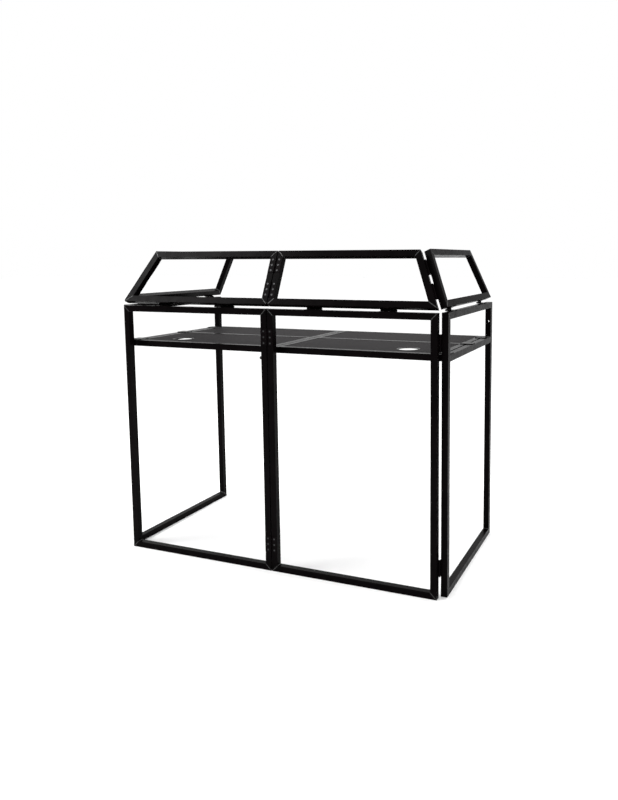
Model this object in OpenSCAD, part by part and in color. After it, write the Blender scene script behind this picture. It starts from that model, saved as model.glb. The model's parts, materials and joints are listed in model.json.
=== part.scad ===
// Folding booth frame: four lower frames, four leaning upper frames and a table in two halves.
// The front faces look along -Y, the frame is open at the back, and it stands on Z = 0.

/* [Tube] */
// Side of the square steel tube
tube = 25; // [20:1:30]
// Wall of the square steel tube
wall = 1.5; // [1.2:0.1:2.5]

/* [Lower frames] */
// Width of one front frame
front_w = 688; // [500:1:900]
// Gap between the two front frames
centre_gap = 4; // [3:0.5:6]
// Height of the lower frames
lower_h = 1050; // [900:5:1200]
// Depth of one side frame
side_d = 667; // [500:1:800]
// Set-back of the side frames behind the front face
side_start = 34.8; // [33:0.1:40]
// Height of the accessory hole in each rear post
hole_z = 965; // [920:1:1000]
// Radius of the accessory hole
hole_r = 5; // [3:0.5:6]

/* [Upper frames] */
// Height of an upper frame along its slope
upper_l = 227; // [180:1:260]
// Lean of the upper frames from upright
lean = 25; // [20:1:30]
// How much a side upper frame stops short at the rear
upper_short = 6.5; // [0:0.5:15]

/* [Table] */
// Height of the table's top
table_z = 898; // [850:1:940]
// Set-back of the table behind the front face
table_start = 52; // [50:1:70]
// Depth of the table
table_d = 649; // [500:1:660]
// Middle of the cross tube behind the front face
cross_y = 396; // [300:1:450]
// Thickness of the boards
board_t = 3; // [2:0.5:6]
// Clear radius of the cable ports
port_r = 40; // [25:1:45]
// Distance of a cable port from the middle of the table
port_x = 521; // [400:1:560]
// Distance of a cable port behind the front face
port_y = 168; // [150:1:250]
// Length of one hook plate along the side
hook_l = 50; // [30:1:60]
// Thickness of the hook plates
hook_t = 3; // [2:0.5:5]

/* [Hinges] */
// Length of every hinge
leaf_len = 64; // [50:1:76]
// Thickness of a hinge leaf
leaf_t = 1.6; // [1.2:0.1:2]
// Reach of a leaf from the pin's centre
leaf_reach = 26.5; // [24:0.5:27]
// Radius of the hinge barrel
barrel_r = 3.2; // [2.8:0.1:3.2]
// Radius of the hinge pin
pin_r = 1.6; // [1.2:0.1:1.8]
// Distance of the lower hinges' centres from the frame's ends
hinge_end = 110; // [60:1:200]
// Distance of the tilt hinges from the ends of a front frame
tilt_end = 193; // [100:1:250]
// Distance of the tilt hinges from the ends of a side frame
side_tilt_end = 108; // [60:1:200]

/* [Hidden] */
$fn = 48;

frame_colour = [0.09, 0.09, 0.09];
hinge_colour = [0.13, 0.13, 0.13];
screw_colour = [0.62, 0.62, 0.62];
board_colour = [0.26, 0.25, 0.25];
tool_over = 1;        // how far a cutting shape runs past what it cuts
seam = 0.02;          // half of the hairline at a mitre, where the weld is

// Where the frames stand.
half_w = front_w + centre_gap / 2;
inner_x = centre_gap / 2;
hinge_off = 3.3;      // pin's centre to the face that a leaf is screwed to
side_gap = 5.2;       // end of a front frame to the side frame's inner face
side_x = half_w + side_gap;
rear_y = side_start + side_d;
mid_y = (rear_y - hinge_off - barrel_r) / 2;

// Upper frames: the tilt hinges' axes, and the angle of the cut corners.
tilt_set = 2.2;       // front tilt axis beyond the frame's inner face
side_tilt_set = 9;    // the same at the sides
tilt_y = tube + tilt_set;
tilt_x = side_x - side_tilt_set;
tilt_z = lower_h + hinge_off;
upper_z = tilt_z + hinge_off;
cut_rise = sin(lean);
cut_angle = atan(cut_rise);
edge_in = 1;          // set-in of an upper frame's outer corner

// Hinges.
plate_in = 3.6;       // edge of a leaf's plate from the pin's centre
open_in = 4.2;        // the same on a leaf that has no knuckles
pin_play = 0.05;
knuckles = 5;
knuckle_gap = 0.15;
pin_head_r = 2.6;
pin_head_t = 0.9;
screw_reach = 14;     // screw's centre from the pin's centre
screw_pitch = 23;
screw_r = 1.9;
screw_head_r = 3.7;
screw_l = 7;
slot_l = 3.6;
slot_w = 0.8;
slot_depth = 0.9;
top_centre_end = 62;  // upper centre hinges' centres from the frame's ends
corner_low = 74;      // slope heights of the upper corner hinges' centres
corner_high = 169;

// Table.
rest_gap = 0.2;       // crossbar below the hook plates
recess = 1;           // boards below the tops of the tubes
table_in = 1;         // set-in of the table from the front frames' ends
ring_wall = 1.5;
ring_flange = 5;
ring_t = 0.9;
hook_in = 21;         // hook plate's lap on the table's own tube
hook_chamfer = 6;
hook_short = 2;       // hook plate's end from the side frame's outer face
hook_front = 92;      // middles of the front and rear plates behind the front face
hook_rear = 630;
rest_t = 3;
rest_w = 23;
rest_rise = 16;
rest_drop = 17;       // top of the rest below the table's top
rest_reach = 23;
lug_w = 19;
lug_l = 16;
lug_t = 4;
lug_gap = 0.2;

// Lock knob, on the left centre post.
knob_z = 857;
knob_r = 6.5;
knob_l = 12;
knob_gap = 0.8;
knob_flutes = 10;
stud_r = 3;
stud_l = 31;

function unit(v) = v / norm(v);
function next(p, i) = (i + 1) % len(p);
function run_dir(p, i) = unit(p[next(p, i)] - p[i]);
function last_dir(p, i) = run_dir(p, (i + len(p) - 1) % len(p));
function inset(p, i, d) =
    p[i] + d * (run_dir(p, i) - last_dir(p, i)) / cross(last_dir(p, i), run_dir(p, i));
function run_outline(p, i, outer, inner, trim) = [
    inset(p, i, outer) + trim * run_dir(p, i),
    inset(p, next(p, i), outer) - trim * run_dir(p, i),
    inset(p, next(p, i), inner) - trim * run_dir(p, i),
    inset(p, i, inner) + trim * run_dir(p, i)
];

// The cut corner's hinge axis lies where two planes meet, one inside each upper frame.
// Both functions give its place at slope height s, before the frame leans.
front_in = hinge_off - tilt_set;
side_in = hinge_off - side_tilt_set;
function seam_x(s) =
    tilt_x - side_in / cos(lean) + front_in * sin(lean) * tan(lean) - (s + hinge_off) * sin(lean);
function seam_y(s) =
    tilt_y + front_in / cos(lean) - side_in * sin(lean) * tan(lean) + (s + hinge_off) * sin(lean);
// Slope height on the side upper frame, level with s on the front one.
function side_level(s) = s + (side_in - front_in) * tan(lean);

// ---------- placing ----------

module place() translate([0, -mid_y, 0]) children();

module left_side() mirror([1, 0, 0]) children();

// A flat outline in X and Z becomes a slab behind the front face.
module stand_front() translate([0, tube, 0]) rotate([90, 0, 0]) children();

// A flat outline in Y and Z becomes a slab outside the side's inner face.
module stand_side() translate([side_x, 0, 0]) rotate([90, 0, 90]) children();

module lean_front()
    translate([0, tilt_y, tilt_z]) rotate([-lean, 0, 0])
        translate([0, -tilt_y, -tilt_z]) children();

module lean_side()
    translate([tilt_x, 0, tilt_z]) rotate([0, -lean, 0])
        translate([-tilt_x, 0, -tilt_z]) children();

module at_centre()
    for (z = [hinge_end, lower_h - hinge_end])
        translate([0, -hinge_off, z]) rotate([0, 0, 180]) children();

module at_corner()
    for (z = [hinge_end, lower_h - hinge_end])
        translate([side_x - hinge_off, tube + hinge_off, z]) rotate([0, 180, 0]) children();

module at_front_tilt()
    for (x = [inner_x + tilt_end, half_w - tilt_end])
        translate([x, tilt_y, tilt_z]) rotate([90, 0, -90]) children();

module at_side_tilt()
    for (y = [side_start + side_tilt_end, rear_y - side_tilt_end])
        translate([tilt_x, y, tilt_z]) rotate([90, 0, 0]) children();

module at_top_centre()
    for (s = [top_centre_end, upper_l - top_centre_end])
        translate([0, -hinge_off, upper_z + s]) rotate([0, 0, 180]) children();

module at_top_corner()
    for (s = [corner_low, corner_high])
        translate([seam_x(s), tube + hinge_off, upper_z + s])
            rotate([0, 180 - cut_angle, 0]) children();

module at_top_corner_side()
    for (s = [side_level(corner_low), side_level(corner_high)])
        translate([side_x - hinge_off, seam_y(s), upper_z + s])
            rotate([-cut_angle, 0, 0]) rotate([0, 0, 90]) children();

// Turns a leaf to face the other one, opened by the given angle.
module opened(angle) rotate([0, 0, angle]) mirror([0, 1, 0]) children();

// ---------- tubes and frames ----------

// One mitred length of square tube, open at both mitres.
module tube_run(p, i) {
    difference() {
        linear_extrude(tube) polygon(run_outline(p, i, 0, tube, seam));
        translate([0, 0, wall])
            linear_extrude(tube - 2 * wall)
                polygon(run_outline(p, i, wall, tube - wall, -tool_over));
    }
}

module tube_frame(p) for (i = [0:len(p) - 1]) tube_run(p, i);

// A straight length of tube along X, from its corner.
module bar(length) {
    difference() {
        cube([length, tube, tube]);
        translate([-tool_over, wall, wall])
            cube([length + 2 * tool_over, tube - 2 * wall, tube - 2 * wall]);
    }
}

module front_frame()
    stand_front()
        tube_frame([[inner_x, 0], [half_w, 0], [half_w, lower_h], [inner_x, lower_h]]);

module side_frame() {
    bar_top = table_z - rest_gap;
    difference() {
        stand_side()
            tube_frame([[side_start, 0], [rear_y, 0], [rear_y, lower_h], [side_start, lower_h]]);
        translate([side_x + tube / 2, rear_y - tube - tool_over, hole_z])
            rotate([-90, 0, 0]) cylinder(r = hole_r, h = tube + 2 * tool_over);
    }
    translate([side_x + tube, side_start + tube + seam, bar_top - tube])
        rotate([0, 0, 90]) bar(side_d - 2 * tube - 2 * seam);
}

module top_front_frame()
    lean_front() translate([0, 0, upper_z]) stand_front()
        tube_frame([[inner_x, 0], [half_w - edge_in, 0],
                    [half_w - edge_in - cut_rise * upper_l, upper_l], [inner_x, upper_l]]);

module top_side_frame()
    lean_side() translate([0, 0, upper_z]) stand_side()
        tube_frame([[side_start, 0], [rear_y - upper_short, 0],
                    [rear_y - upper_short, upper_l], [side_start + cut_rise * upper_l, upper_l]]);

// ---------- hinges: pin along Z, leaf towards +X, screwed to a face at -Y ----------

module knuckle(i) {
    pitch = leaf_len / knuckles;
    low = i * pitch - leaf_len / 2 + (i == 0 ? 0 : knuckle_gap);
    high = (i + 1) * pitch - leaf_len / 2 - (i == knuckles - 1 ? 0 : knuckle_gap);
    translate([0, 0, low]) cylinder(r = barrel_r, h = high - low);
    translate([0, -hinge_off, low]) cube([plate_in + tool_over, leaf_t, high - low]);
}

module leaf_plate(from)
    translate([from, -hinge_off, -leaf_len / 2]) cube([leaf_reach - from, leaf_t, leaf_len]);

module screw_rows()
    for (z = [-screw_pitch, 0, screw_pitch])
        translate([screw_reach, leaf_t - hinge_off, z]) rotate([90, 0, 0]) children();

module screw_hole() {
    translate([0, 0, -tool_over]) cylinder(r = screw_r + 0.1, h = leaf_t + 2 * tool_over);
    translate([0, 0, -0.01]) cylinder(r1 = screw_head_r + 0.1, r2 = screw_r, h = leaf_t);
}

// Countersunk screw, its head flush at Z = 0, with a cross recess.
module screw() {
    difference() {
        union() {
            cylinder(r1 = screw_head_r, r2 = screw_r, h = leaf_t);
            cylinder(r = screw_r, h = screw_l);
        }
        for (turn = [0, 90]) rotate([0, 0, turn])
            translate([-slot_l / 2, -slot_w / 2, -tool_over])
                cube([slot_l, slot_w, tool_over + slot_depth]);
    }
}

// Leaf with the knuckles whose numbers are given.
module leaf(numbers) {
    difference() {
        union() {
            leaf_plate(plate_in);
            for (i = numbers) knuckle(i);
        }
        translate([0, 0, -leaf_len / 2 - tool_over])
            cylinder(r = pin_r + pin_play, h = leaf_len + 2 * tool_over);
        screw_rows() screw_hole();
    }
}

module leaf_a() leaf([0, 2, 4]);

module leaf_b() leaf([1, 3]);

module barrel_leaf() leaf([0:knuckles - 1]);

// Leaf with no knuckles, which stays clear of the barrel.
module plain_leaf() {
    difference() {
        leaf_plate(open_in);
        screw_rows() screw_hole();
    }
}

module pin() {
    reach = leaf_len / 2 + 0.1;
    translate([0, 0, -reach]) cylinder(r = pin_r, h = 2 * reach);
    for (end = [0, 180]) rotate([end, 0, 0]) translate([0, 0, reach])
        cylinder(r1 = pin_head_r, r2 = pin_r, h = pin_head_t);
}

module leaf_screws() screw_rows() screw();

// ---------- hinge nodes for the right-hand half ----------

module corner_leaf_a() at_corner() leaf_a();
module corner_leaf_b() at_corner() opened(90) leaf_b();
module corner_pins() at_corner() pin();
module tilt_front_leaf_a() at_front_tilt() leaf_a();
module tilt_front_leaf_b() at_front_tilt() opened(lean) leaf_b();
module tilt_front_pins() at_front_tilt() pin();
module tilt_side_leaf_a() at_side_tilt() leaf_a();
module tilt_side_leaf_b() at_side_tilt() opened(lean) leaf_b();
module tilt_side_pins() at_side_tilt() pin();
module top_corner_leaf_a() lean_front() at_top_corner() barrel_leaf();
module top_corner_leaf_b() lean_side() at_top_corner_side() plain_leaf();
module top_corner_pins() lean_front() at_top_corner() pin();

// ---------- screws ----------

module front_hinge_screws() {
    at_corner() leaf_screws();
    at_front_tilt() leaf_screws();
    rest_screws();
}

module rest_screws()
    for (x = [inner_x + tube / 2 - rest_w / 4, inner_x + tube / 2 + rest_w / 4])
        translate([x, tube + rest_t, table_z - rest_drop + rest_rise / 2])
            rotate([90, 0, 0]) screw();

module side_hinge_screws() {
    at_corner() opened(90) leaf_screws();
    at_side_tilt() leaf_screws();
}

module top_front_hinge_screws() {
    at_front_tilt() opened(lean) leaf_screws();
    lean_front() at_top_corner() leaf_screws();
}

module top_side_hinge_screws() {
    at_side_tilt() opened(lean) leaf_screws();
    lean_side() at_top_corner_side() leaf_screws();
}

// ---------- table, right-hand half ----------

table_x1 = half_w - table_in;
table_y1 = table_start + table_d;
board_x0 = inner_x + tube;
board_x1 = table_x1 - tube;
board_z = table_z - recess - board_t;

module table_frame() {
    translate([0, 0, table_z - tube])
        tube_frame([[inner_x, table_start], [table_x1, table_start],
                    [table_x1, table_y1], [inner_x, table_y1]]);
    translate([board_x0 + seam, cross_y - tube / 2, table_z - tube])
        bar(board_x1 - board_x0 - 2 * seam);
    translate([inner_x + (tube - lug_w) / 2, table_start - lug_l, table_z - rest_drop + lug_gap])
        cube([lug_w, lug_l, lug_t]);
}

module board(y0, y1) translate([board_x0, y0, board_z]) cube([board_x1 - board_x0, y1 - y0, board_t]);

module front_board() {
    difference() {
        board(table_start + tube, cross_y - tube / 2);
        translate([port_x, port_y, board_z - tool_over])
            cylinder(r = port_r + ring_wall, h = board_t + 2 * tool_over, $fn = 72);
    }
}

module rear_board() board(cross_y + tube / 2, table_y1 - tube);

module cable_ring()
    translate([port_x, port_y, board_z + board_t])
        rotate_extrude($fn = 72)
            polygon([[port_r, -board_t], [port_r + ring_wall, -board_t],
                     [port_r + ring_wall, 0], [port_r + ring_flange, 0],
                     [port_r + ring_flange - 0.5, ring_t], [port_r + 0.5, ring_t],
                     [port_r, ring_t - 0.5]]);

// One plate laps the table's tube and the side frame's crossbar.
module hook_plate() {
    reach = side_x + tube - hook_short - table_x1 + hook_in;
    linear_extrude(hook_t)
        polygon([[0, 0], [reach - hook_chamfer, 0], [reach, hook_chamfer],
                 [reach, hook_l - hook_chamfer], [reach - hook_chamfer, hook_l], [0, hook_l]]);
}

module table_hooks()
    for (y = [hook_front, cross_y, hook_rear])
        translate([table_x1 - hook_in, y - hook_l / 2, table_z]) hook_plate();

// Angle bracket behind the centre post, under the lug on the table's front tube.
module table_rest()
    translate([inner_x + (tube - rest_w) / 2, tube, table_z - rest_drop - rest_t]) {
        cube([rest_w, rest_reach, rest_t]);
        cube([rest_w, rest_t, rest_rise + rest_t]);
    }

// ---------- lock knob: along X from the left face of the left centre post ----------

module at_knob() translate([-inner_x - tube, tube / 2, knob_z]) rotate([0, -90, 0]) children();

module knob_shape() {
    difference() {
        translate([0, 0, knob_gap]) rotate_extrude()
            polygon([[stud_r, 0], [knob_r - 1, 0], [knob_r, 1], [knob_r, knob_l - 3],
                     [knob_r - 1, knob_l - 1], [knob_r - 2.5, knob_l], [stud_r, knob_l]]);
        for (i = [0:knob_flutes - 1]) rotate([0, 0, i * 360 / knob_flutes])
            translate([knob_r + 0.4, 0, -tool_over])
                cylinder(r = 1, h = knob_l + 2 * tool_over, $fn = 24);
    }
}

module stud_shape()
    translate([0, 0, knob_gap + knob_l - 0.6 - stud_l]) cylinder(r = stud_r, h = stud_l);

module stud_hole()
    translate([0, 0, -2 * wall]) cylinder(r = stud_r + pin_play, h = 4 * wall);

// ---------- nodes ----------

module front_left_frame() color(frame_colour) place() difference() {
    left_side() front_frame();
    at_knob() stud_hole();
}
module front_right_frame() color(frame_colour) place() front_frame();
module side_left_frame() color(frame_colour) place() left_side() side_frame();
module side_right_frame() color(frame_colour) place() side_frame();
module top_front_left_frame() color(frame_colour) place() left_side() top_front_frame();
module top_front_right_frame() color(frame_colour) place() top_front_frame();
module top_side_left_frame() color(frame_colour) place() left_side() top_side_frame();
module top_side_right_frame() color(frame_colour) place() top_side_frame();

module centre_leaf_a() color(hinge_colour) place() at_centre() leaf_a();
module centre_leaf_b() color(hinge_colour) place() at_centre() opened(180) leaf_b();
module centre_pins() color(hinge_colour) place() at_centre() pin();
module corner_left_leaf_a() color(hinge_colour) place() left_side() corner_leaf_a();
module corner_left_leaf_b() color(hinge_colour) place() left_side() corner_leaf_b();
module corner_left_pins() color(hinge_colour) place() left_side() corner_pins();
module corner_right_leaf_a() color(hinge_colour) place() corner_leaf_a();
module corner_right_leaf_b() color(hinge_colour) place() corner_leaf_b();
module corner_right_pins() color(hinge_colour) place() corner_pins();
module tilt_front_left_leaf_a() color(hinge_colour) place() left_side() tilt_front_leaf_a();
module tilt_front_left_leaf_b() color(hinge_colour) place() left_side() tilt_front_leaf_b();
module tilt_front_left_pins() color(hinge_colour) place() left_side() tilt_front_pins();
module tilt_front_right_leaf_a() color(hinge_colour) place() tilt_front_leaf_a();
module tilt_front_right_leaf_b() color(hinge_colour) place() tilt_front_leaf_b();
module tilt_front_right_pins() color(hinge_colour) place() tilt_front_pins();
module tilt_side_left_leaf_a() color(hinge_colour) place() left_side() tilt_side_leaf_a();
module tilt_side_left_leaf_b() color(hinge_colour) place() left_side() tilt_side_leaf_b();
module tilt_side_left_pins() color(hinge_colour) place() left_side() tilt_side_pins();
module tilt_side_right_leaf_a() color(hinge_colour) place() tilt_side_leaf_a();
module tilt_side_right_leaf_b() color(hinge_colour) place() tilt_side_leaf_b();
module tilt_side_right_pins() color(hinge_colour) place() tilt_side_pins();
module top_centre_leaf_a() color(hinge_colour) place() lean_front() at_top_centre() barrel_leaf();
module top_centre_leaf_b()
    color(hinge_colour) place() lean_front() at_top_centre() opened(180) plain_leaf();
module top_centre_pins() color(hinge_colour) place() lean_front() at_top_centre() pin();
module top_corner_left_leaf_a() color(hinge_colour) place() left_side() top_corner_leaf_a();
module top_corner_left_leaf_b() color(hinge_colour) place() left_side() top_corner_leaf_b();
module top_corner_left_pins() color(hinge_colour) place() left_side() top_corner_pins();
module top_corner_right_leaf_a() color(hinge_colour) place() top_corner_leaf_a();
module top_corner_right_leaf_b() color(hinge_colour) place() top_corner_leaf_b();
module top_corner_right_pins() color(hinge_colour) place() top_corner_pins();

module front_left_screws() color(screw_colour) place() {
    left_side() front_hinge_screws();
    at_centre() leaf_screws();
}
module front_right_screws() color(screw_colour) place() {
    front_hinge_screws();
    at_centre() opened(180) leaf_screws();
}
module side_left_screws() color(screw_colour) place() left_side() side_hinge_screws();
module side_right_screws() color(screw_colour) place() side_hinge_screws();
module top_front_left_screws() color(screw_colour) place() {
    left_side() top_front_hinge_screws();
    lean_front() at_top_centre() leaf_screws();
}
module top_front_right_screws() color(screw_colour) place() {
    top_front_hinge_screws();
    lean_front() at_top_centre() opened(180) leaf_screws();
}
module top_side_left_screws() color(screw_colour) place() left_side() top_side_hinge_screws();
module top_side_right_screws() color(screw_colour) place() top_side_hinge_screws();

module table_left_frame() color(frame_colour) place() left_side() table_frame();
module table_left_front_board() color(board_colour) place() left_side() front_board();
module table_left_rear_board() color(board_colour) place() left_side() rear_board();
module table_left_hooks() color(frame_colour) place() left_side() table_hooks();
module table_left_cable_ring() color(hinge_colour) place() left_side() cable_ring();
module table_right_frame() color(frame_colour) place() table_frame();
module table_right_front_board() color(board_colour) place() front_board();
module table_right_rear_board() color(board_colour) place() rear_board();
module table_right_hooks() color(frame_colour) place() table_hooks();
module table_right_cable_ring() color(hinge_colour) place() cable_ring();
module table_rest_left() color(hinge_colour) place() left_side() table_rest();
module table_rest_right() color(hinge_colour) place() table_rest();
module lock_knob() color(hinge_colour) place() at_knob() knob_shape();
module lock_knob_stud() color(screw_colour) place() at_knob() stud_shape();

front_left_frame();
front_right_frame();
side_left_frame();
side_right_frame();
top_front_left_frame();
top_front_right_frame();
top_side_left_frame();
top_side_right_frame();
centre_leaf_a();
centre_leaf_b();
centre_pins();
corner_left_leaf_a();
corner_left_leaf_b();
corner_left_pins();
corner_right_leaf_a();
corner_right_leaf_b();
corner_right_pins();
tilt_front_left_leaf_a();
tilt_front_left_leaf_b();
tilt_front_left_pins();
tilt_front_right_leaf_a();
tilt_front_right_leaf_b();
tilt_front_right_pins();
tilt_side_left_leaf_a();
tilt_side_left_leaf_b();
tilt_side_left_pins();
tilt_side_right_leaf_a();
tilt_side_right_leaf_b();
tilt_side_right_pins();
top_centre_leaf_a();
top_centre_leaf_b();
top_centre_pins();
top_corner_left_leaf_a();
top_corner_left_leaf_b();
top_corner_left_pins();
top_corner_right_leaf_a();
top_corner_right_leaf_b();
top_corner_right_pins();
front_left_screws();
front_right_screws();
side_left_screws();
side_right_screws();
top_front_left_screws();
top_front_right_screws();
top_side_left_screws();
top_side_right_screws();
table_left_frame();
table_left_front_board();
table_left_rear_board();
table_left_hooks();
table_left_cable_ring();
table_right_frame();
table_right_front_board();
table_right_rear_board();
table_right_hooks();
table_right_cable_ring();
table_rest_left();
table_rest_right();
lock_knob();
lock_knob_stud();
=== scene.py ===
"""Folding booth frame with a table in two halves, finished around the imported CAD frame."""
import json
import math

import bmesh
import bpy
from mathutils import Matrix, Vector


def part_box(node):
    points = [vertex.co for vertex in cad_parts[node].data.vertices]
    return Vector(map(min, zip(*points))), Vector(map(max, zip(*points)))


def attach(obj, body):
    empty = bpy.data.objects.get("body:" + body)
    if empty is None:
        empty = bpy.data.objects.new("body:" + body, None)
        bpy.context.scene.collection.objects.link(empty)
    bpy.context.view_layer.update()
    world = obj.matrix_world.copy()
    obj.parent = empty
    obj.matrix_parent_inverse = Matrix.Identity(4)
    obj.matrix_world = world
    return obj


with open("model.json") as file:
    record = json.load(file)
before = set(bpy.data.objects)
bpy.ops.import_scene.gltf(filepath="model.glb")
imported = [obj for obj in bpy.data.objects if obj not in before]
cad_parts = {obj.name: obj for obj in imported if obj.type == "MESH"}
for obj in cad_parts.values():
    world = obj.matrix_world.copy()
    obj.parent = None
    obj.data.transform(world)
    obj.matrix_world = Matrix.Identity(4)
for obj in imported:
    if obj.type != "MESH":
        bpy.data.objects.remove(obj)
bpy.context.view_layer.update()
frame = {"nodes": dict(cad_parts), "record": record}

TUBE = 0.025
LEAN = math.radians(25)
JOINTS = {j["name"]: j for j in frame["record"]["behaviour"]["joints"]}
SLOT_OF = {s["node"]: s["material_slot"] for s in frame["record"]["subparts"]}


# ---------- node helpers ----------

def new_material(name):
    material = bpy.data.materials.new(name)
    material.use_nodes = True
    return material, material.node_tree, material.node_tree.nodes["Principled BSDF"]


def texture_point(tree, scale=(1, 1, 1)):
    """Object coordinates in metres, stretched by scale."""
    coords = tree.nodes.new("ShaderNodeTexCoord")
    mapping = tree.nodes.new("ShaderNodeMapping")
    mapping.inputs["Scale"].default_value = scale
    tree.links.new(coords.outputs["Object"], mapping.inputs["Vector"])
    return mapping.outputs["Vector"]


def noise(tree, point, scale, detail=2.0, roughness=0.5):
    node = tree.nodes.new("ShaderNodeTexNoise")
    node.inputs["Scale"].default_value = scale
    node.inputs["Detail"].default_value = detail
    node.inputs["Roughness"].default_value = roughness
    tree.links.new(point, node.inputs["Vector"])
    return node.outputs["Fac"]


def spread(tree, value, low, high, start=0.3, end=0.7):
    """Maps a value from start..end to low..high."""
    node = tree.nodes.new("ShaderNodeMapRange")
    node.inputs["From Min"].default_value = start
    node.inputs["From Max"].default_value = end
    node.inputs["To Min"].default_value = low
    node.inputs["To Max"].default_value = high
    tree.links.new(value, node.inputs["Value"])
    return node.outputs["Result"]


def ramp(tree, value, stops):
    node = tree.nodes.new("ShaderNodeValToRGB")
    elements = node.color_ramp.elements
    while len(elements) < len(stops):
        elements.new(0.5)
    for element, (place, colour) in zip(elements, stops):
        element.position = place
        element.color = (*colour, 1)
    tree.links.new(value, node.inputs["Fac"])
    return node.outputs["Color"]


def bump(tree, shader, height, distance, strength=1.0, under=None):
    node = tree.nodes.new("ShaderNodeBump")
    node.inputs["Distance"].default_value = distance
    node.inputs["Strength"].default_value = strength
    tree.links.new(height, node.inputs["Height"])
    if under is not None:
        tree.links.new(under, node.inputs["Normal"])
    tree.links.new(node.outputs["Normal"], shader.inputs["Normal"])
    return node.outputs["Normal"]


def grey(value):
    return (value, value, value)


def warm(value):
    """A black that leans a little to brown."""
    return (1.3 * value, 0.8 * value, 0.95 * value)


# ---------- materials ----------

def powder_coat(name, dark, light, gloss=0.28, peel=0.00005):
    """Baked powder coat: orange peel, a fine grain, and a finish that isn't quite even."""
    material, tree, shader = new_material(name)
    point = texture_point(tree)
    cloud = noise(tree, point, 14, 3)
    tree.links.new(ramp(tree, cloud, [(0.3, warm(dark)), (0.7, warm(light))]),
                   shader.inputs["Base Color"])
    tree.links.new(spread(tree, noise(tree, point, 38, 4), gloss - 0.05, gloss + 0.07),
                   shader.inputs["Roughness"])
    shader.inputs["Specular IOR Level"].default_value = 0.022
    orange_peel = bump(tree, shader, noise(tree, point, 620, 1), peel, 0.6)
    bump(tree, shader, noise(tree, point, 2600, 1), peel / 3, 0.5, orange_peel)
    return material


def zinc(name):
    """Darkened zinc plate, a little cloudy."""
    material, tree, shader = new_material(name)
    point = texture_point(tree)
    cloud = noise(tree, point, 900, 3)
    tree.links.new(ramp(tree, cloud, [(0.3, (0.030, 0.030, 0.032)), (0.7, (0.065, 0.065, 0.065))]),
                   shader.inputs["Base Color"])
    shader.inputs["Metallic"].default_value = 1.0
    tree.links.new(spread(tree, cloud, 0.28, 0.45), shader.inputs["Roughness"])
    bump(tree, shader, noise(tree, point, 3000, 2), 0.00002, 0.5)
    return material


def laminate(name):
    """Dark grey laminate with a faint streaky grain along its length and a pebbled skin."""
    material, tree, shader = new_material(name)
    streaks = noise(tree, texture_point(tree, (1.5, 60, 60)), 6, 5, 0.6)
    fleck = noise(tree, texture_point(tree), 420, 3)
    colour = ramp(tree, streaks, [(0.32, (0.0125, 0.0112, 0.0118)), (0.5, (0.015, 0.0136, 0.0143)),
                                  (0.7, (0.0185, 0.0168, 0.0176))])
    mix = tree.nodes.new("ShaderNodeMix")
    mix.data_type = "RGBA"
    mix.blend_type = "MULTIPLY"
    mix.inputs["Factor"].default_value = 1.0
    tree.links.new(colour, mix.inputs["A"])
    tree.links.new(ramp(tree, fleck, [(0.35, grey(0.8)), (0.65, grey(1.0))]), mix.inputs["B"])
    tree.links.new(mix.outputs["Result"], shader.inputs["Base Color"])
    shader.inputs["Specular IOR Level"].default_value = 0.03
    tree.links.new(spread(tree, streaks, 0.62, 0.75), shader.inputs["Roughness"])
    pebbles = bump(tree, shader, noise(tree, texture_point(tree), 900, 2), 0.00006, 0.6)
    bump(tree, shader, streaks, 0.00004, 0.5, pebbles)
    return material


def moulded_plastic(name, value):
    """Black moulded plastic with a fine spark-eroded grain."""
    material, tree, shader = new_material(name)
    point = texture_point(tree)
    cloud = noise(tree, point, 60, 3)
    tree.links.new(ramp(tree, cloud, [(0.3, grey(value * 0.8)), (0.7, grey(value * 1.3))]),
                   shader.inputs["Base Color"])
    tree.links.new(spread(tree, noise(tree, point, 300, 2), 0.45, 0.6), shader.inputs["Roughness"])
    bump(tree, shader, noise(tree, point, 1800, 2), 0.00005, 0.7)
    return material


def weld_coat_with_painted_highlight(name):
    """The black coat over a weld bead: rippled, and shinier where it pooled, with a base colour
    lighter than the frame's coat as a painted highlight along the bead.
    """
    material, tree, shader = new_material(name)
    point = texture_point(tree)
    # painted highlight: the bead's base colour is several times lighter than the frame's black, so the
    # welds show as light lines
    tree.links.new(ramp(tree, noise(tree, point, 160, 3), [(0.35, grey(0.010)), (0.65, grey(0.04))]),
                   shader.inputs["Base Color"])
    tree.links.new(spread(tree, noise(tree, point, 500, 2), 0.25, 0.45), shader.inputs["Roughness"])
    bump(tree, shader, noise(tree, point, 900, 3), 0.00015, 0.8)
    return material


MATERIALS = {
    "frame_black": powder_coat("frame_black", 0.0008, 0.0018),
    "hinge_black": powder_coat("hinge_black", 0.0012, 0.0024, gloss=0.30, peel=0.00003),
    "screw_zinc": zinc("screw_zinc"),
    "table_board": laminate("table_board"),
    "black_plastic": moulded_plastic("black_plastic", 0.012),
}
# the weld beads get the material with the painted highlight in its base colour
WELD_PAINTED_HIGHLIGHT = weld_coat_with_painted_highlight("weld_painted_highlight")


# ---------- CAD nodes: rounded edges and materials ----------

def rounded(obj, width, segments=2):
    """Rounds every real edge; flat triangles are merged first so that only real edges count."""
    merge = obj.modifiers.new("merge_flat", "DECIMATE")
    merge.decimate_type = "DISSOLVE"
    merge.angle_limit = math.radians(1)
    bevel = obj.modifiers.new("round_edges", "BEVEL")
    bevel.width = width
    bevel.segments = segments
    bevel.limit_method = "ANGLE"
    bevel.angle_limit = math.radians(30)
    bevel.harden_normals = True


EDGE_WIDTH = {
    "frame": 0.0014, "leaf": 0.00025, "hooks": 0.0006, "board": 0.0005, "rest": 0.0006,
    "ring": 0.0002, "knob": 0.0003, "stud": 0.0002,
}

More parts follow.
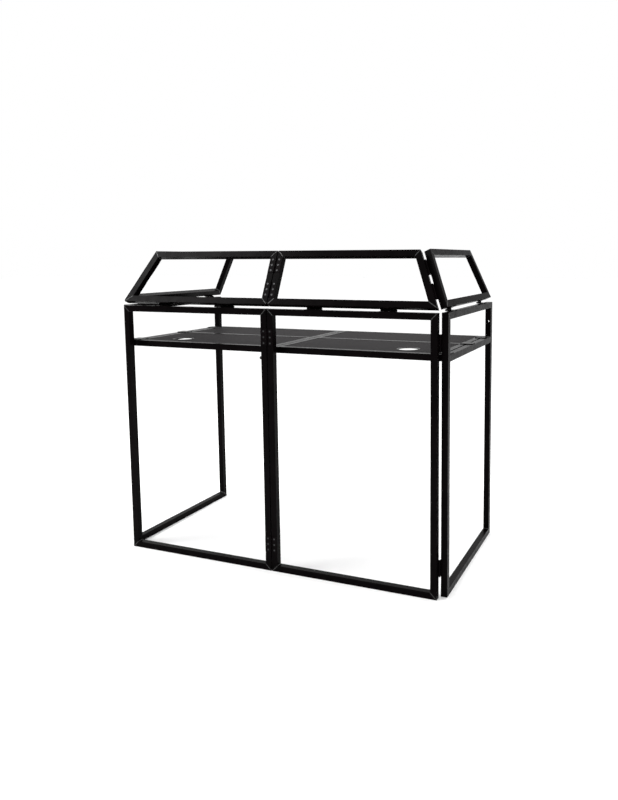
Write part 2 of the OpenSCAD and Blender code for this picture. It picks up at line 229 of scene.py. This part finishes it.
for node_name, node_object in frame["nodes"].items():
    node_object.data.materials.clear()
    node_object.data.materials.append(MATERIALS[SLOT_OF[node_name]])
    for word, edge in EDGE_WIDTH.items():
        if word in node_name.split("_"):
            rounded(node_object, edge, 3 if word == "frame" else 2)
            break


# ---------- pieces made of several small meshes ----------

def add_piece(name, body, material, parts):
    """Joins meshes under construction into one piece that rides on a body."""
    total = bmesh.new()
    for part in parts:
        step = bpy.data.meshes.new("step")
        part.to_mesh(step)
        part.free()
        total.from_mesh(step)
        bpy.data.meshes.remove(step)
    for face in total.faces:
        face.smooth = True
    data = bpy.data.meshes.new(name)
    total.to_mesh(data)
    total.free()
    data.set_sharp_from_angle(angle=math.radians(40))
    piece = bpy.data.objects.new(name, data)
    bpy.context.scene.collection.objects.link(piece)
    data.materials.append(material)
    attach(piece, body)


def bead(start, end, normal, width, height):
    """A rippled weld bead from start to end on a face, sunk a little into it."""
    sink = 0.0004
    ripple_pitch = 0.0014
    arc = 6
    along = (end - start).normalized()
    across = normal.cross(along).normalized()
    length = (end - start).length
    rings = max(8, int(length / ripple_pitch))
    mesh = bmesh.new()
    rows = []
    for i in range(rings + 1):
        t = i / rings
        swell = 1 + 0.12 * math.sin(2.1 * i) + 0.06 * math.sin(0.9 * i)
        swell *= min(1, 0.3 + 8 * min(t, 1 - t))
        row = []
        for k in range(arc + 1):
            angle = math.pi * k / arc
            side = math.cos(angle) * width / 2 * swell
            rise = math.sin(angle) * height * swell
            foot = start + along * length * t
            row.append(mesh.verts.new(foot + across * side + normal * (rise - sink * (k in (0, arc)))))
        rows.append(row)
    for a, b in zip(rows, rows[1:]):
        for k in range(arc):
            mesh.faces.new((a[k], a[k + 1], b[k + 1], b[k]))
        mesh.faces.new((a[arc], a[0], b[0], b[arc]))
    mesh.faces.new(rows[0][::-1])
    mesh.faces.new(rows[-1])
    bmesh.ops.recalc_face_normals(mesh, faces=mesh.faces)
    return mesh


# ---------- weld beads ----------

BEAD_START = 0.002   # a bead's start from the outer corner's edges
BEAD_WIDTH = 0.0026
BEAD_HEIGHT = 0.00045
FILLET_WIDTH = 0.0042
FILLET_HEIGHT = 0.0016
FILLET_END = 0.001   # a fillet's ends from the tube's faces
HOOK_LENGTH = 0.05   # one hook plate along the side
HOOK_CHAMFER = 0.004   # a hook's bead stops this short of the plate's ends
CROSSBAR_DROP = 0.0002   # crossbar below the hook plates


def inset_corner(outline, i, distance):
    """The corner moved in from both its edges; the outline runs anticlockwise."""
    here = Vector(outline[i])
    before = (here - Vector(outline[i - 1])).normalized()
    after = (Vector(outline[(i + 1) % len(outline)]) - here).normalized()
    return here + (after - before) * distance / before.cross(after)


def mitre_beads(outline, to_world):
    """Beads on both faces of every mitre, and a fillet in every inner corner.
    to_world takes a point of the outline and a depth from 0 to the tube's side."""
    parts = []
    near = (to_world((0, 0), 0) - to_world((0, 0), TUBE)).normalized()
    for i in range(len(outline)):
        inner = inset_corner(outline, i, TUBE)
        outer = inset_corner(outline, i, BEAD_START)
        for depth, normal in ((0, near), (TUBE, -near)):
            parts.append(bead(to_world(outer, depth), to_world(inner, depth), normal,
                              BEAD_WIDTH, BEAD_HEIGHT))
        inward = (to_world(inset_corner(outline, i, 2 * TUBE), 0) - to_world(inner, 0)).normalized()
        parts.append(bead(to_world(inner, FILLET_END), to_world(inner, TUBE - FILLET_END), inward,
                          FILLET_WIDTH, FILLET_HEIGHT))
    return parts


def mirrored(to_world):
    """The same placement on the left-hand side."""
    def flip(point, depth):
        place = to_world(point, depth)
        return Vector((-place.x, place.y, place.z))
    return flip


def rectangle(a0, b0, a1, b1):
    return [(a0, b0), (a1, b0), (a1, b1), (a0, b1)]


front_low, front_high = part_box("front_right_frame")
side_low, side_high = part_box("side_right_frame")
front_axis = Vector(JOINTS["top_front_right_tilt"]["pos_m"])
side_axis = Vector(JOINTS["top_side_right_tilt"]["pos_m"])
HINGE_OFF = front_axis.z - front_high.z
UPPER_Z = front_axis.z + HINGE_OFF
top_front_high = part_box("top_front_right_frame")[1]
top_side_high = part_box("top_side_right_frame")[1]
UPPER_L = ((top_front_high.z - front_axis.z - (front_axis.y - front_low.y) * math.sin(LEAN))
           / math.cos(LEAN) - HINGE_OFF)
RISE = math.sin(LEAN) * UPPER_L


def on_front(point, depth):
    return Vector((point[0], front_low.y + depth, point[1]))


def on_side(point, depth):
    return Vector((side_low.x + depth, point[0], point[1]))


def leaning(place, axis, line):
    turn = Matrix.Rotation(-LEAN, 3, line)
    return axis + turn @ (place - axis)


def on_top_front(point, depth):
    return leaning(on_front((point[0], UPPER_Z + point[1]), depth),
                   Vector((0, front_axis.y, front_axis.z)), "X")


def on_top_side(point, depth):
    return leaning(on_side((point[0], UPPER_Z + point[1]), depth),
                   Vector((side_axis.x, 0, side_axis.z)), "Y")


def on_table(point, depth):
    return Vector((point[0], point[1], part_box("table_right_hooks")[0].z - TUBE + depth))


board_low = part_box("table_right_front_board")[0]
board_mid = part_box("table_right_front_board")[1].y
board_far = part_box("table_right_rear_board")[0].y
board_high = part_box("table_right_rear_board")[1]
TABLE_OUTLINE = rectangle(board_low.x - TUBE, board_low.y - TUBE,
                          board_high.x + TUBE, board_high.y + TUBE)

WELDED_FRAMES = {
    "front": (rectangle(front_low.x, front_low.z, front_high.x, front_high.z), on_front),
    "side": (rectangle(side_low.y, side_low.z, side_high.y, side_high.z), on_side),
    "top_front": ([(front_low.x, 0), (top_front_high.x, 0),
                   (top_front_high.x - RISE, UPPER_L), (front_low.x, UPPER_L)], on_top_front),
    "top_side": ([(side_low.y, 0), (top_side_high.y, 0),
                  (top_side_high.y, UPPER_L), (side_low.y + RISE, UPPER_L)], on_top_side),
    "table": (TABLE_OUTLINE, on_table),
}


def butt_beads(to_world, end, low, high, direction):
    """Beads around the end of a tube that meets another one's face.
    end is along the first outline axis and low to high along the second."""
    near = (to_world((0, 0), 0) - to_world((0, 0), TUBE)).normalized()
    along = (to_world((direction, 0), 0) - to_world((0, 0), 0)).normalized()
    up = (to_world((0, 1), 0) - to_world((0, 0), 0)).normalized()
    parts = [bead(to_world((end, low), depth), to_world((end, high), depth), normal,
                  BEAD_WIDTH, BEAD_HEIGHT)
             for depth, normal in ((0, near), (TUBE, -near))]
    for level, face in ((low, -up), (high, up)):
        start = to_world((end, level), FILLET_END)
        finish = to_world((end, level), TUBE - FILLET_END)
        parts.append(bead(start, finish, (face + along).normalized(), FILLET_WIDTH, FILLET_HEIGHT))
    return parts


def hook_beads(sign):
    """A bead along the inner edge of each hook plate, on the side that sign gives."""
    low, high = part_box("table_right_hooks")
    middle = (board_mid + board_far) / 2
    parts = []
    for y in (low.y, middle - HOOK_LENGTH / 2, high.y - HOOK_LENGTH):
        start = Vector((sign * low.x, y + HOOK_CHAMFER, low.z))
        end = Vector((sign * low.x, y + HOOK_LENGTH - HOOK_CHAMFER, low.z))
        parts.append(bead(start, end, Vector((-sign, 0, 1)).normalized(),
                          FILLET_WIDTH, FILLET_HEIGHT))
    return parts


crossbar_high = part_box("table_right_hooks")[0].z - CROSSBAR_DROP
for side, sign in (("left", -1), ("right", 1)):
    for kind, (outline, to_world) in WELDED_FRAMES.items():
        place = to_world if sign > 0 else mirrored(to_world)
        beads = mitre_beads(outline, place)
        if kind == "side":
            for end, direction in ((side_low.y + TUBE, 1), (side_high.y - TUBE, -1)):
                beads += butt_beads(place, end, crossbar_high - TUBE, crossbar_high, direction)
        if kind == "table":
            for end, direction in ((board_low.x, 1), (board_high.x, -1)):
                beads += butt_beads(place, end, board_mid, board_far, direction)
            beads += hook_beads(sign)
        add_piece(f"{kind}_{side}_welds", f"{kind}_{side}", WELD_PAINTED_HIGHLIGHT, beads)


# ---------- clips under the boards ----------

CLIP_LENGTH = 0.030
CLIP_LEG = 0.014
CLIP_THICK = 0.002
CLIP_END = 0.10      # first clip's centre from a board's corner


def clip(centre, inward):
    """Bent angle: one leg down the tube's inner face, the other under the board."""
    along = Vector((0, 0, 1)).cross(inward)
    outline = [(0, 0), (CLIP_LEG, 0), (CLIP_LEG, -CLIP_THICK), (1.6 * CLIP_THICK, -CLIP_THICK),
               (CLIP_THICK, -1.6 * CLIP_THICK), (CLIP_THICK, -CLIP_LEG), (0, -CLIP_LEG)]
    mesh = bmesh.new()
    ends = []
    for shift in (-CLIP_LENGTH / 2, CLIP_LENGTH / 2):
        ends.append([mesh.verts.new(centre + along * shift + inward * a + Vector((0, 0, b)))
                     for a, b in outline])
    count = len(outline)
    for k in range(count):
        mesh.faces.new((ends[0][k], ends[0][(k + 1) % count], ends[1][(k + 1) % count], ends[1][k]))
    mesh.faces.new(ends[0][::-1])
    mesh.faces.new(ends[1])
    bmesh.ops.recalc_face_normals(mesh, faces=mesh.faces)
    bmesh.ops.bevel(mesh, geom=mesh.edges[:], offset=0.0004, segments=2, affect="EDGES",
                    clamp_overlap=True)
    return mesh


def pan_screw(centre):
    """Pan-head screw, seen from below."""
    profile = [(0.0, 0.0022), (0.0016, 0.0021), (0.0028, 0.0016), (0.0035, 0.0007), (0.0036, 0.0)]
    turns = 24
    mesh = bmesh.new()
    top = mesh.verts.new(centre - Vector((0, 0, profile[0][1])))
    rings = []
    for radius, depth in profile[1:]:
        rings.append([mesh.verts.new(centre + Vector((radius * math.cos(2 * math.pi * k / turns),
                                                      radius * math.sin(2 * math.pi * k / turns),
                                                      -depth))) for k in range(turns)])
    for k in range(turns):
        n = (k + 1) % turns
        mesh.faces.new((top, rings[0][k], rings[0][n]))
        for a, b in zip(rings, rings[1:]):
            mesh.faces.new((a[k], b[k], b[n], a[n]))
    mesh.faces.new(rings[-1])
    bmesh.ops.recalc_face_normals(mesh, faces=mesh.faces)
    return mesh


def clip_places(low, high):
    """Two clips on each long side of a board and one in the middle of each short side."""
    under = low.z
    for x in (low.x + CLIP_END, high.x - CLIP_END):
        yield Vector((x, low.y, under)), Vector((0, 1, 0))
        yield Vector((x, high.y, under)), Vector((0, -1, 0))
    yield Vector((low.x, (low.y + high.y) / 2, under)), Vector((1, 0, 0))
    yield Vector((high.x, (low.y + high.y) / 2, under)), Vector((-1, 0, 0))


for side in ("left", "right"):
    clips, screws = [], []
    for board in ("front", "rear"):
        for centre, inward in clip_places(*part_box(f"table_{side}_{board}_board")):
            clips.append(clip(centre, inward))
            for shift in (-CLIP_LENGTH / 4, CLIP_LENGTH / 4):
                along = Vector((0, 0, 1)).cross(inward)
                screws.append(pan_screw(centre + along * shift + inward * CLIP_LEG * 0.6
                                        - Vector((0, 0, CLIP_THICK))))
    add_piece(f"table_{side}_board_clips", f"table_{side}", MATERIALS["hinge_black"],
              clips)
    add_piece(f"table_{side}_clip_screws", f"table_{side}", MATERIALS["screw_zinc"],
              screws)


# ---------- stage, light and camera ----------

def add_floor():
    half = 40.0
    data = bpy.data.meshes.new("floor")
    data.from_pydata([(-half, -half, 0), (half, -half, 0), (half, half, 0), (-half, half, 0)],
                     [], [(0, 1, 2, 3)])
    floor = bpy.data.objects.new("floor", data)
    bpy.context.scene.collection.objects.link(floor)
    material, tree, shader = new_material("floor_white")
    shader.inputs["Base Color"].default_value = (0.96, 0.96, 0.96, 1)
    shader.inputs["Roughness"].default_value = 0.9
    data.materials.append(material)


def add_area_light(name, place, aim, size, power):
    data = bpy.data.lights.new(name, "AREA")
    data.shape = "RECTANGLE"
    data.size, data.size_y = size
    data.energy = power
    light = bpy.data.objects.new(name, data)
    light.location = place
    light.rotation_euler = (Vector(aim) - Vector(place)).to_track_quat("-Z", "Y").to_euler()
    bpy.context.scene.collection.objects.link(light)


def add_world():
    """White to look at. It lights the object from above, and from a white backdrop
    behind it on the left, like a studio with dark walls."""
    backdrop = (-0.5, 0.86, 0.1)
    world = bpy.data.worlds.new("studio")
    world.use_nodes = True
    tree = world.node_tree
    seen = tree.nodes["Background"]
    seen.inputs["Color"].default_value = (1, 1, 1, 1)
    seen.inputs["Strength"].default_value = 1.0
    light = tree.nodes.new("ShaderNodeBackground")
    coords = tree.nodes.new("ShaderNodeTexCoord")
    split = tree.nodes.new("ShaderNodeSeparateXYZ")
    total = tree.nodes.new("ShaderNodeMath")
    tree.links.new(coords.outputs["Generated"], split.inputs["Vector"])
    tree.links.new(spread(tree, split.outputs["Z"], 0.1, 1.8, 0.0, 0.9), total.inputs[0])
    toward = tree.nodes.new("ShaderNodeVectorMath")
    toward.operation = "DOT_PRODUCT"
    toward.inputs[1].default_value = backdrop
    tree.links.new(coords.outputs["Generated"], toward.inputs[0])
    tree.links.new(spread(tree, toward.outputs["Value"], 0.0, 1.1, 0.7, 0.98), total.inputs[1])
    tree.links.new(total.outputs["Value"], light.inputs["Strength"])
    path = tree.nodes.new("ShaderNodeLightPath")
    mix = tree.nodes.new("ShaderNodeMixShader")
    tree.links.new(path.outputs["Is Camera Ray"], mix.inputs["Fac"])
    tree.links.new(light.outputs["Background"], mix.inputs[1])
    tree.links.new(seen.outputs["Background"], mix.inputs[2])
    tree.links.new(mix.outputs["Shader"], tree.nodes["World Output"].inputs["Surface"])
    bpy.context.scene.world = world


def add_camera():
    """Stands to the front right at the height of the upper frames, turned left and a little down."""
    yaw, pitch, roll = math.radians(21.37), math.radians(5.92), math.radians(-0.22)
    data = bpy.data.cameras.new("camera")
    data.sensor_fit = "AUTO"
    data.sensor_width = 36
    data.lens = 31.67
    data.shift_x = -0.1033
    data.shift_y = -0.0855
    camera = bpy.data.objects.new("camera", data)
    camera.location = (1.434, -2.688, 1.2405)
    turn = Matrix.Rotation(yaw, 4, "Z") @ Matrix.Rotation(math.pi / 2 - pitch, 4, "X")
    camera.rotation_euler = (turn @ Matrix.Rotation(roll, 4, "Z")).to_euler()
    bpy.context.scene.collection.objects.link(camera)
    bpy.context.scene.camera = camera


add_floor()
add_world()
add_area_light("key", (-2.9, -1.9, 3.4), (0, 0, 0.9), (1.7, 1.7), 105)
add_area_light("top", (0.5, 1.0, 4.5), (0, 0, 0.8), (3.5, 3.5), 150)
add_camera()
bpy.context.scene.view_settings.view_transform = "Standard"
